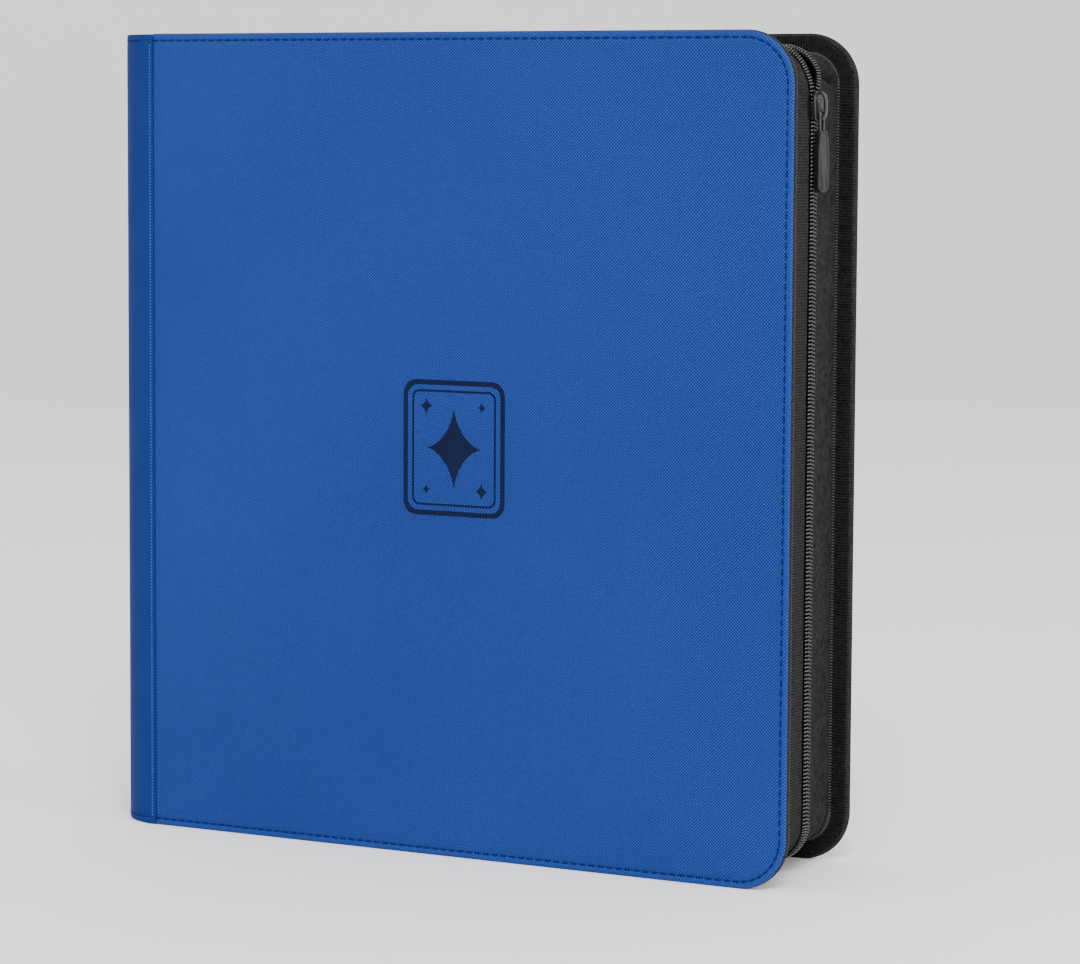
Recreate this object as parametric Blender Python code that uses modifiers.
"""A zippered ring binder for trading cards, standing upright with its zipper closed up the side
and open along the top.

Metres, +Z up, +X towards the opening edge, -Y out of the front cover. The origin is at the middle of
the base. Two stiff covers are joined to a narrow spine by soft rounded folds. A coil zipper runs round
the other three sides, and a three-ring mechanism on the spine carries the pocket pages.
"""

import math

import bmesh
import bpy
from mathutils import Matrix, Vector

# Whole object
WIDTH, DEPTH, HEIGHT = 0.317, 0.070, 0.340
RIGHT, LEFT = WIDTH / 2, -WIDTH / 2
FOLD_RADIUS = 0.0217  # outer radius of the two rounded spine folds
CORNER_RADIUS = 0.021
SEAM = LEFT + FOLD_RADIUS  # where the folds meet the flat covers
SPINE_HALF = DEPTH / 2 - FOLD_RADIUS  # half the flat width of the spine
GAP = 0.0003  # between parts that touch on the real object

# Layers of a cover, from its outer face inwards
SKIN, FOAM, BOARD, LINING = 0.0009, 0.0006, 0.0010, 0.0006
FOAM_OUT = SKIN + GAP
BOARD_OUT = FOAM_OUT + FOAM + GAP
LINING_OUT = BOARD_OUT + BOARD + GAP
COVER = LINING_OUT + LINING
CORE_INSET = 0.0015  # foam and board stop this far inside the edge
BINDING_WALL = 0.0012
BINDING_WIDTH = 0.0089  # the ribbed tape round the inside of the edge

# Spine, measured in from its outer face
SPINE_BOARD = 0.0014
SPINE_BOARD_OUT = SKIN + GAP
SPINE_LINING_OUT = SPINE_BOARD_OUT + SPINE_BOARD + GAP
SPINE_FLOOR = SPINE_LINING_OUT + LINING

# Cover hinges: a point that keeps the length of each fold as the cover turns a right angle
HINGE_X, HINGE_Y = -0.1539, 0.0304

# Zipper
TAPE = 0.0007
TAPE_START = -0.135
COIL_RADIUS, COIL_INSET, COIL_OFFSET = 0.00125, 0.0060, 0.00155
TAPE_SECTION = ((0.0085, 0.0307), (0.0082, 0.0200), (0.0072, 0.0100), (0.0062, 0.0031))
MOUTH_HALF = 0.00475  # half the gap between the two coils where the zipper is open
MOUTH_LENGTH = 0.018  # the coils part over this length above the slider
SLIDER_Z, SLIDER_LENGTH, SLIDER_WIDTH, SLIDER_PLATE = 0.3107, 0.0110, 0.0096, 0.0010
COIL_X = RIGHT - COIL_INSET
PULL_X, PULL_Z = RIGHT - 0.00245, SLIDER_Z - 0.0017
LINK_RADIUS, LINK_HALF_WIDTH, LINK_DROP = 0.0006, 0.0022, 0.0108
TAB_LENGTH, TAB_WIDTH, TAB_NECK, TAB_THICKNESS, TAB_HOLE = 0.0250, 0.0056, 0.0044, 0.0012, 0.0018
TAB_TURN = math.radians(50)

# Ring mechanism
RING_RADIUS, RING_WIRE = 0.0220, 0.0030
RING_X = -0.1280
RING_Z = (0.0620, 0.1700, 0.2780)
RING_SWEEP = math.radians(155)
PLATE_BOTTOM, PLATE_TOP, PLATE_HALF, PLATE_WALL = -0.1546, -0.1491, 0.0129, 0.0008
PLATE_LENGTH, HINGE_PLATE_LENGTH = 0.260, 0.236
HINGE_PLATE_X, HINGE_PLATE = -0.1524, 0.0008
HINGE_PLATE_Y = (0.0003, 0.0114)
RIVET_SPACING = 0.249
LEVER_X, LEVER_SPACING = -0.1522, 0.266

# Pocket pages
PAGE_COUNT, PAGE_PITCH = 8, 0.0025
PAGE_WIDTH, PAGE_HEIGHT, PAGE_THICKNESS = 0.235, 0.292, 0.0009
PAGE_MARGIN = 0.0080  # from the page's edge to the ring wire
SLOT_IN, SLOT_OUT, SLOT_HALF = 0.0029, 0.0081, 0.0031


def clear_scene():
    for obj in list(bpy.data.objects):
        bpy.data.objects.remove(obj, do_unlink=True)


def new_collection(name, hidden=False):
    collection = bpy.data.collections.new(name)
    bpy.context.scene.collection.children.link(collection)
    collection.hide_render = hidden
    return collection


clear_scene()
BINDER = new_collection("card_binder")
CUTTERS = new_collection("cutters", hidden=True)


def material(name, colour, roughness, metallic=0.0):
    made = bpy.data.materials.new(name)
    made.use_nodes = True
    shader = made.node_tree.nodes["Principled BSDF"]
    shader.inputs["Base Color"].default_value = (*colour, 1.0)
    shader.inputs["Roughness"].default_value = roughness
    shader.inputs["Metallic"].default_value = metallic
    return made


FINISHES = {
    "skin": ((0.020, 0.105, 0.390), 0.50, 0.0),
    "spine": ((0.016, 0.075, 0.280), 0.45, 0.0),
    "foam": ((0.70, 0.70, 0.72), 0.95, 0.0),
    "board": ((0.34, 0.31, 0.27), 0.90, 0.0),
    "lining": ((0.012, 0.012, 0.014), 0.80, 0.0),
    "tape": ((0.030, 0.030, 0.033), 0.90, 0.0),
    "coil": ((0.022, 0.022, 0.024), 0.40, 0.0),
    "steel": ((0.60, 0.60, 0.62), 0.25, 1.0),
    "slider": ((0.085, 0.085, 0.090), 0.40, 0.8),
    "page": ((0.018, 0.018, 0.020), 0.35, 0.0),
}


def add(name, data, finish):
    """A new object in the binder, with a material of its own."""
    obj = bpy.data.objects.new(name, data)
    BINDER.objects.link(obj)
    data.materials.clear()
    data.materials.append(material(name, *FINISHES[finish]))
    return obj


def outline_curve(name, loops, thickness):
    """A flat plate from closed outlines: the first is its edge, and any others are holes."""
    curve = bpy.data.curves.new(name, "CURVE")
    curve.dimensions = "2D"
    curve.fill_mode = "BOTH"
    curve.extrude = thickness / 2
    for loop in loops:
        spline = curve.splines.new("POLY")
        spline.points.add(len(loop) - 1)
        for point, (x, y) in zip(spline.points, loop):
            point.co = (x, y, 0.0, 1.0)
        spline.use_cyclic_u = True
    return curve


UPRIGHT = Matrix.Rotation(math.pi / 2, 4, "X")  # an outline's x, y become X, Z, and it faces -Y


def upright_plate(name, loops, near, far, finish):
    """A plate across Y, between two distances from the middle plane."""
    obj = add(name, outline_curve(name, loops, abs(far - near)), finish)
    obj.matrix_world = Matrix.Translation((0, (near + far) / 2, 0)) @ UPRIGHT
    return obj


def column(name, loop, bottom, top, finish):
    """An outline in X and Y carried straight up."""
    obj = add(name, outline_curve(name, [loop], top - bottom), finish)
    obj.location.z = (bottom + top) / 2
    return obj


def arc(cx, cy, radius, start, end, steps):
    """Points on a circle, from one angle in degrees to another."""
    angles = [math.radians(start + (end - start) * i / steps) for i in range(steps + 1)]
    return [(cx + radius * math.cos(a), cy + radius * math.sin(a)) for a in angles]


def rectangle(x0, x1, y0, y1):
    return [(x0, y0), (x1, y0), (x1, y1), (x0, y1)]


def tube(name, points, radius, finish, sides=8, cyclic=False):
    curve = bpy.data.curves.new(name, "CURVE")
    curve.dimensions = "3D"
    curve.bevel_depth = radius
    curve.bevel_resolution = sides // 2 - 2
    curve.use_fill_caps = not cyclic
    spline = curve.splines.new("POLY")
    spline.points.add(len(points) - 1)
    for point, place in zip(spline.points, points):
        point.co = (*place, 1.0)
    spline.use_cyclic_u = cyclic
    return add(name, curve, finish)


def as_mesh(obj):
    """Replaces a curve object by a welded mesh object of the same name, place and material."""
    graph = bpy.context.evaluated_depsgraph_get()
    graph.update()
    mesh = bpy.data.meshes.new_from_object(obj.evaluated_get(graph))
    work = bmesh.new()
    work.from_mesh(mesh)
    bmesh.ops.remove_doubles(work, verts=work.verts, dist=1e-6)
    bmesh.ops.recalc_face_normals(work, faces=work.faces)
    work.to_mesh(mesh)
    work.free()
    name, place = obj.name, obj.matrix_world.copy()
    homes = list(obj.users_collection)
    bpy.data.objects.remove(obj, do_unlink=True)
    made = bpy.data.objects.new(name, mesh)
    made.matrix_world = place
    for home in homes:
        home.objects.link(made)
    return made


def cube_mesh(name, low, high):
    work = bmesh.new()
    bmesh.ops.create_cube(work, size=1.0)
    size = [b - a for a, b in zip(low, high)]
    middle = [(a + b) / 2 for a, b in zip(low, high)]
    bmesh.ops.scale(work, vec=size, verts=work.verts)
    bmesh.ops.translate(work, vec=middle, verts=work.verts)
    mesh = bpy.data.meshes.new(name)
    work.to_mesh(mesh)
    work.free()
    return mesh


def block(name, low, high, finish, bevel=0.0):
    obj = add(name, cube_mesh(name, low, high), finish)
    if bevel:
        edge = obj.modifiers.new("edge", "BEVEL")
        edge.width = bevel
        edge.segments = 2
    return obj


def cylinder_mesh(name, radius, start, end, sides=16):
    """A closed cylinder from one point to another."""
    start, end = Vector(start), Vector(end)
    work = bmesh.new()
    bmesh.ops.create_cone(
        work, cap_ends=True, segments=sides, radius1=radius, radius2=radius, depth=(end - start).length
    )
    turn = (end - start).to_track_quat("Z", "Y").to_matrix().to_4x4()
    bmesh.ops.transform(work, matrix=Matrix.Translation((start + end) / 2) @ turn, verts=work.verts)
    mesh = bpy.data.meshes.new(name)
    work.to_mesh(mesh)
    work.free()
    return mesh


def hide(obj):
    obj.hide_render = True
    obj.display_type = "WIRE"
    return obj


def helper(name, mesh):
    """A hidden cutter, or a hidden piece to be joined to another."""
    obj = bpy.data.objects.new(name, mesh)
    CUTTERS.objects.link(obj)
    return hide(obj)


def move_to_cutters(obj):
    BINDER.objects.unlink(obj)
    CUTTERS.objects.link(obj)
    hide(obj)


def boolean(obj, other, operation):
    cut = obj.modifiers.new(other.name, "BOOLEAN")
    cut.operation = operation
    cut.object = other


def pivot(name, place):
    """An empty on a joint's axis, which carries that joint's moving parts."""
    empty = bpy.data.objects.new(name, None)
    empty.empty_display_size = 0.01
    empty.location = place
    BINDER.objects.link(empty)
    return empty


def carry(empty, *objects):
    """Parents objects to a pivot, or a pivot to another, without moving them."""
    bpy.context.view_layer.update()
    for obj in objects:
        obj.parent = empty
        obj.matrix_parent_inverse = empty.matrix_world.inverted()


# Covers ------------------------------------------------------------------------------------------


def open_outline(inset, left):
    """The cover's three free edges at some inset, from the lower left round to the upper left."""
    radius = CORNER_RADIUS - inset
    x = RIGHT - CORNER_RADIUS
    low = arc(x, CORNER_RADIUS, radius, -90, 0, 6)
    high = arc(x, HEIGHT - CORNER_RADIUS, radius, 0, 90, 6)
    return [(left, inset), *low, *high, (left, HEIGHT - inset)]


def strip_outline(outer, inner, left):
    """A band that follows the three free edges."""
    return open_outline(outer, left) + open_outline(inner, left)[::-1]


def cover(name, side):
    """One cover's skin, foam, board, lining and edge binding. side is -1 in front and 1 behind."""

    def level(depth):
        return side * (DEPTH / 2 - depth)

    left = SEAM + GAP / 2
    core_left = SEAM + 0.001
    skin = upright_plate(name + "_skin", [open_outline(0, left)], level(0), level(SKIN), "skin")
    core = [open_outline(CORE_INSET, core_left)]
    foam = upright_plate(name + "_foam", core, level(FOAM_OUT), level(FOAM_OUT + FOAM), "foam")
    board = upright_plate(name + "_board", core, level(BOARD_OUT), level(BOARD_OUT + BOARD), "board")
    lined = [open_outline(BINDING_WIDTH + GAP, core_left)]
    lining = upright_plate(name + "_lining", lined, level(LINING_OUT), level(COVER), "lining")

    flange = [strip_outline(0, BINDING_WIDTH, core_left)]
    wall = [strip_outline(0, BINDING_WALL, core_left)]
    binding = upright_plate(name + "_edge_binding", flange, level(LINING_OUT), level(COVER), "tape")
    rim = upright_plate(name + "_rim", wall, level(FOAM_OUT - 0.0001), level(COVER), "tape")
    binding, rim = as_mesh(binding), as_mesh(rim)
    move_to_cutters(rim)
    boolean(binding, rim, "UNION")
    return [skin, foam, board, lining, binding]


# Spine -------------------------------------------------------------------------------------------


def spine():
    def layer(name, out, thickness, half, low, finish):
        loop = rectangle(LEFT + out, LEFT + out + thickness, -half, half)
        return column(name, loop, low, HEIGHT - low, finish)

    layer("spine_skin", 0, SKIN, SPINE_HALF - GAP / 2, 0, "spine")
    board = layer("spine_board", SPINE_BOARD_OUT, SPINE_BOARD, SPINE_HALF - 0.0003, 0.0015, "board")
    lining = layer("spine_lining", SPINE_LINING_OUT, LINING, SPINE_HALF - 0.0005, 0.0015, "lining")

    trim = math.degrees(GAP / 2 / FOLD_RADIUS)
    for name, side in (("front_fold_skin", -1), ("back_fold_skin", 1)):
        outer = arc(SEAM, SPINE_HALF, FOLD_RADIUS, 90 + trim, 180 - trim, 8)
        inner = arc(SEAM, SPINE_HALF, FOLD_RADIUS - SKIN, 180 - trim, 90 + trim, 8)
        column(name, [(x, side * y) for x, y in outer + inner], 0, HEIGHT, "spine")
    return board, lining


# Zipper ------------------------------------------------------------------------------------------


def smooth(t):
    t = min(max(t, 0.0), 1.0)
    return t * t * (3 - 2 * t)


def zipper_stations():
    """Places round the three free edges: a point on the edge, its outward direction, and half the
    gap between the coils there, which is zero below the slider."""
    corner = RIGHT - CORNER_RADIUS
    found = [(x, 0.0, 0.0, -1.0, 0.0) for x in (TAPE_START, 0.0)]
    for angle in range(-90, 1, 15):
        a = math.radians(angle)
        x, z = corner + CORNER_RADIUS * math.cos(a), CORNER_RADIUS * (1 + math.sin(a))
        found.append((x, z, math.cos(a), math.sin(a), 0.0))
    straight = HEIGHT - CORNER_RADIUS - SLIDER_Z  # from the slider to the start of the upper corner
    for z in (0.16, SLIDER_Z, SLIDER_Z + straight / 2):
        found.append((RIGHT, z, 1.0, 0.0, MOUTH_HALF * smooth((z - SLIDER_Z) / MOUTH_LENGTH)))
    for angle in range(0, 91, 15):
        a = math.radians(angle)
        half_gap = MOUTH_HALF * smooth((straight + CORNER_RADIUS * a) / MOUTH_LENGTH)
        x = corner + CORNER_RADIUS * math.cos(a)
        z = HEIGHT - CORNER_RADIUS * (1 - math.sin(a))
        found.append((x, z, math.cos(a), math.sin(a), half_gap))
    found += [(x, HEIGHT, 0.0, 1.0, MOUTH_HALF) for x in (0.0, TAPE_START)]
    return found


def zipper_point(station, inset, distance, side):
    x, z, nx, nz, parted = station
    return (x - inset * nx, side * (distance + parted), z - inset * nz)


def zipper_tape(name, side):
    """A woven tape from the cover's lining to the coil, as a sheet that is then thickened."""
    stations = zipper_stations()
    rows = len(TAPE_SECTION)
    work = bmesh.new()
    bmesh.ops.create_grid(work, x_segments=len(stations) - 1, y_segments=rows - 1, size=0.5)
    for vertex in work.verts:
        i = round((vertex.co.x + 0.5) * (len(stations) - 1))
        inset, distance = TAPE_SECTION[round((vertex.co.y + 0.5) * (rows - 1))]
        near_coil = 1 - (distance - TAPE_SECTION[-1][1]) / (TAPE_SECTION[0][1] - TAPE_SECTION[-1][1])
        x, z, nx, nz, parted = stations[i]
        bent = (x, z, nx, nz, parted * near_coil)
        vertex.co = zipper_point(bent, inset, distance, side)
    mesh = bpy.data.meshes.new(name)
    work.to_mesh(mesh)
    work.free()
    obj = add(name, mesh, "tape")
    thicken = obj.modifiers.new("thickness", "SOLIDIFY")
    thicken.thickness = TAPE
    thicken.offset = 0
    thicken.use_even_offset = True
    return obj


def zipper_coil(name, side):
    points = [zipper_point(s, COIL_INSET, COIL_OFFSET, side) for s in zipper_stations()]
    return tube(name, points, COIL_RADIUS, "coil")


def zipper_top_stop(name, side):
    """The small clip that ends the open side of a coil."""
    y = side * (COIL_OFFSET + MOUTH_HALF)
    top = HEIGHT - COIL_INSET + COIL_RADIUS + GAP
    return block(name, (-0.126, y - 0.0016, top), (-0.1225, y + 0.0016, top + 0.0011), "slider", 0.0003)


def zipper_end_tab(name, middle):
    """A folded cloth tab sewn to the spine, which takes the loose ends of the zipper."""
    low = (LEFT + SPINE_FLOOR + GAP, -0.009, middle - 0.0008)
    high = (TAPE_START - 0.003, 0.009, middle + 0.0008)
    return block(name, low, high, "tape", 0.0005)


def slider():
    """The slider: two plates round the coils, a wedge between the coils, and a crown for the pull."""
    low, high = SLIDER_Z - SLIDER_LENGTH / 2, SLIDER_Z + SLIDER_LENGTH / 2
    half = SLIDER_WIDTH / 2
    reach = COIL_RADIUS + GAP  # from the middle of the coils to the inside of each plate
    outer, inner = COIL_X + reach, COIL_X - reach
    body = block("slider_body", (outer, -half, low), (outer + SLIDER_PLATE, half, high), "slider")
    back = helper("slider_back_plate", cube_mesh("slider_back_plate", (inner - SLIDER_PLATE, -half, low),
                                                 (inner, half, high)))
    boolean(body, back, "UNION")

    top = high - 0.0002
    wedge = [(-0.0002, SLIDER_Z + 0.0032), (0.0002, SLIDER_Z + 0.0032), (0.0007, top), (-0.0007, top)]
    curve = outline_curve("slider_wedge", [wedge], 2 * reach + 0.0008)
    shape = add("slider_wedge", curve, "slider")
    quarter = Matrix.Rotation(math.pi / 2, 4, "Z")
    shape.matrix_world = Matrix.Translation((COIL_X, 0, 0)) @ quarter @ UPRIGHT
    shape = as_mesh(shape)
    move_to_cutters(shape)
    boolean(body, shape, "UNION")

    foot = outer + SLIDER_PLATE - 0.0003
    crown_x, crown_low, crown_high = RIGHT - 0.0006, SLIDER_Z - 0.0047, SLIDER_Z + 0.0047
    bar = 0.0013
    under = crown_x - 0.0009  # the inside of the crown's top bar
    crown = [
        (foot, crown_low), (crown_x - 0.0012, crown_low), (crown_x, crown_low + 0.0014),
        (crown_x, crown_high - 0.0014), (crown_x - 0.0012, crown_high), (foot, crown_high),
        (foot, crown_high - bar), (under, crown_high - bar),
        (under, crown_low + bar), (foot, crown_low + bar),
    ]
    arch = as_mesh(upright_plate("slider_crown", [crown], -0.0012, 0.0012, "slider"))
    move_to_cutters(arch)
    boolean(body, arch, "UNION")
    return body


def pull():
    """The wire link through the slider's crown, and the flat tab that hangs from it."""
    bottom = PULL_Z - LINK_DROP
    middle, half = (PULL_Z + bottom) / 2, (PULL_Z - bottom) / 2
    corner = 0.0012
    loop = []
    for cy, cz, start in ((1, 1, 0), (-1, 1, 90), (-1, -1, 180), (1, -1, 270)):
        y, z = cy * (LINK_HALF_WIDTH - corner), middle + cz * (half - corner)
        loop += [(PULL_X, py, pz) for py, pz in arc(y, z, corner, start, start + 90, 2)]
    link = tube("pull_link", loop, LINK_RADIUS, "slider", sides=6, cyclic=True)

    half_width, half_neck = TAB_WIDTH / 2, TAB_NECK / 2
    top = TAB_HOLE + 0.0012
    foot = top - TAB_LENGTH + half_width
    outline = [
        (half_width, -0.0045), (half_neck, -0.0015), (half_neck, top - 0.001), (half_neck - 0.001, top),
        (0.001 - half_neck, top), (-half_neck, top - 0.001), (-half_neck, -0.0015), (-half_width, -0.0045),
    ]
    outline += arc(0, foot, half_width, 180, 360, 8)
    hole = arc(0, 0, TAB_HOLE, 0, 330, 11)
    tab = add("pull_tab", outline_curve("pull_tab", [outline, hole], TAB_THICKNESS), "slider")
    place = Matrix.Translation((PULL_X + 0.0002, 0, bottom))
    tab.matrix_world = place @ Matrix.Rotation(TAB_TURN, 4, "Z") @ UPRIGHT
    return link, tab


# Ring mechanism ----------------------------------------------------------------------------------


def ring_cover_plate():
    """The sheet-steel channel over the hinge plates, with slots for the ring wires."""
    shoulder, wall = 0.0032, PLATE_WALL
    outer = [
        (PLATE_BOTTOM, PLATE_HALF), (PLATE_TOP - 0.0022, PLATE_HALF), (PLATE_TOP, PLATE_HALF - shoulder),
    ]
    inner = [
        (PLATE_BOTTOM, PLATE_HALF - wall), (PLATE_TOP - 0.0024, PLATE_HALF - wall),
        (PLATE_TOP - wall, PLATE_HALF - wall - shoulder + 0.0006),
    ]
    loop = outer + [(x, -y) for x, y in outer[::-1]] + [(x, -y) for x, y in inner] + inner[::-1]
    middle = HEIGHT / 2
    plate = as_mesh(column("ring_cover_plate", loop, middle - PLATE_LENGTH / 2,
                           middle + PLATE_LENGTH / 2, "steel"))
    for i, z in enumerate(RING_Z):
        for side in (-1, 1):
            ends = sorted((side * 0.0068, side * 0.0140))
            low, high = (HINGE_PLATE_X + 0.0006, ends[0], z - 0.0022), (PLATE_TOP + 0.001, ends[1], z + 0.0022)
            name = f"wire_slot_{i}_{'front' if side < 0 else 'back'}"
            boolean(plate, helper(name, cube_mesh(name, low, high)), "DIFFERENCE")
    return plate


def hinge_plate(name, side):
    inner, outer = HINGE_PLATE_Y
    ends = sorted((side * inner, side * outer))
    low = (HINGE_PLATE_X - HINGE_PLATE / 2, ends[0], (HEIGHT - HINGE_PLATE_LENGTH) / 2)
    high = (HINGE_PLATE_X + HINGE_PLATE / 2, ends[1], (HEIGHT + HINGE_PLATE_LENGTH) / 2)
    return block(name, low, high, "steel")


def half_ring(name, side, z):
    """A bent wire from its hinge plate round to the middle, where it meets the other half."""
    end = 1.5 * GAP / RING_RADIUS
    angles = [RING_SWEEP + (end - RING_SWEEP) * i / 10 for i in range(11)]
    points = [
        (RING_X + RING_RADIUS * math.cos(a), side * RING_RADIUS * math.sin(a), z) for a in angles
    ]
    foot = (HINGE_PLATE_X + HINGE_PLATE / 2 + GAP, points[0][1], z)
    return tube(name, [foot, *points], RING_WIRE / 2, "steel")


def lever(name, end):
    """A thumb lever past the end of the cover plate. end is 1 at the top and -1 at the bottom."""
    profile = [
        (-0.0008, 0.0000), (0.0004, 0.0000), (0.0004, 0.0050), (0.0072, 0.0142), (0.0072, 0.0158),
        (0.0062, 0.0158), (-0.0008, 0.0058),
    ]
    middle = HEIGHT / 2
    loop = [(LEVER_X + x, middle + end * (PLATE_LENGTH / 2 + 0.0006 + z)) for x, z in profile]
    return upright_plate(name, [loop], -0.0075, 0.0075, "steel")


def rivet(name, z):
    """A round-headed rivet through the cover plate, the spine lining and the spine board."""
    head = PLATE_TOP + GAP
    foot = LEFT + SPINE_BOARD_OUT + 0.0001
    obj = add(name, cylinder_mesh(name, 0.0032, (head, 0, z), (head + 0.0014, 0, z)), "steel")
    round_over = obj.modifiers.new("dome", "BEVEL")
    round_over.width = 0.0006
    round_over.segments = 1
    shank = cylinder_mesh(name + "_shank", 0.0016, (foot, 0, z), (head + 0.0007, 0, z), 12)
    boolean(obj, helper(name + "_shank", shank), "UNION")
    return obj


def rivet_hole(name, z, *pierced):
    bore = helper(name, cylinder_mesh(name, 0.0020, (LEFT, 0, z), (PLATE_TOP + 0.001, 0, z), 12))
    for obj in pierced:
        boolean(obj, bore, "DIFFERENCE")


# Pages -------------------------------------------------------------------------------------------


def page(name, y):
    """A pocket page in the plane y, threaded on the rings through three long slots."""
    wire = RING_X + math.sqrt(RING_RADIUS**2 - y**2)
    left = wire - PAGE_MARGIN
    bottom = (HEIGHT - PAGE_HEIGHT) / 2
    edge = []
    for x, z, start in (
        (left + PAGE_WIDTH, bottom, -90), (left + PAGE_WIDTH, bottom + PAGE_HEIGHT, 0),
        (left, bottom + PAGE_HEIGHT, 90), (left, bottom, 180),
    ):
        inward_x = -0.003 if x > left else 0.003
        inward_z = 0.003 if z == bottom else -0.003
        edge += arc(x + inward_x, z + inward_z, 0.003, start, start + 90, 2)
    slots = []
    for z in RING_Z:
        near, far = wire - SLOT_IN + SLOT_HALF, wire + SLOT_OUT - SLOT_HALF
        slots.append(arc(far, z, SLOT_HALF, -90, 90, 4) + arc(near, z, SLOT_HALF, 90, 270, 4))
    return upright_plate(name, [edge, *slots], y - PAGE_THICKNESS / 2, y + PAGE_THICKNESS / 2, "page")


# Assembly ----------------------------------------------------------------------------------------


def build():
    spine_board, spine_lining = spine()
    plate = ring_cover_plate()
    spine_board, spine_lining = as_mesh(spine_board), as_mesh(spine_lining)
    for end, z in (("bottom", (HEIGHT - RIVET_SPACING) / 2), ("top", (HEIGHT + RIVET_SPACING) / 2)):
        rivet(f"ring_rivet_{end}", z)
        rivet_hole(f"rivet_hole_{end}", z, plate, spine_lining, spine_board)
    zipper_end_tab("zipper_end_tab_top", HEIGHT - COIL_INSET)
    zipper_end_tab("zipper_end_tab_bottom", COIL_INSET)

    for word, side in (("front", -1), ("back", 1)):
        leaf = cover(word + "_cover", side)
        zip_half = [
            zipper_tape(f"{word}_zipper_tape", side),
            zipper_coil(f"{word}_zipper_coil", side),
            zipper_top_stop(f"{word}_zipper_stop", side),
        ]
        carry(pivot(word + "_cover_axis", (HINGE_X, side * HINGE_Y, 0)), *leaf, *zip_half)
        rings = [half_ring(f"{word}_ring_{i + 1}", side, z) for i, z in enumerate(RING_Z)]
        blade = hinge_plate(f"{word}_hinge_plate", side)
        axis = pivot(word + "_ring_axis", (HINGE_PLATE_X, side * (HINGE_PLATE_Y[1] + 0.0004), 0))
        carry(axis, blade, *rings)

    for word, end in (("top", 1), ("bottom", -1)):
        place = (LEVER_X, 0, HEIGHT / 2 + end * LEVER_SPACING / 2)
        carry(pivot(f"lever_axis_{word}", place), lever(f"lever_{word}", end))

    runner = pivot("slider_axis", (COIL_X, 0, SLIDER_Z))
    carry(runner, slider())
    hanger = pivot("pull_axis", (PULL_X, 0, PULL_Z))
    carry(runner, hanger)
    carry(hanger, *pull())

    ring_axis = pivot("page_axis", (RING_X, 0, 0))
    for i in range(PAGE_COUNT):
        y = PAGE_PITCH * (i - (PAGE_COUNT - 1) / 2)
        carry(ring_axis, page(f"page_{i + 1}", y))


build()
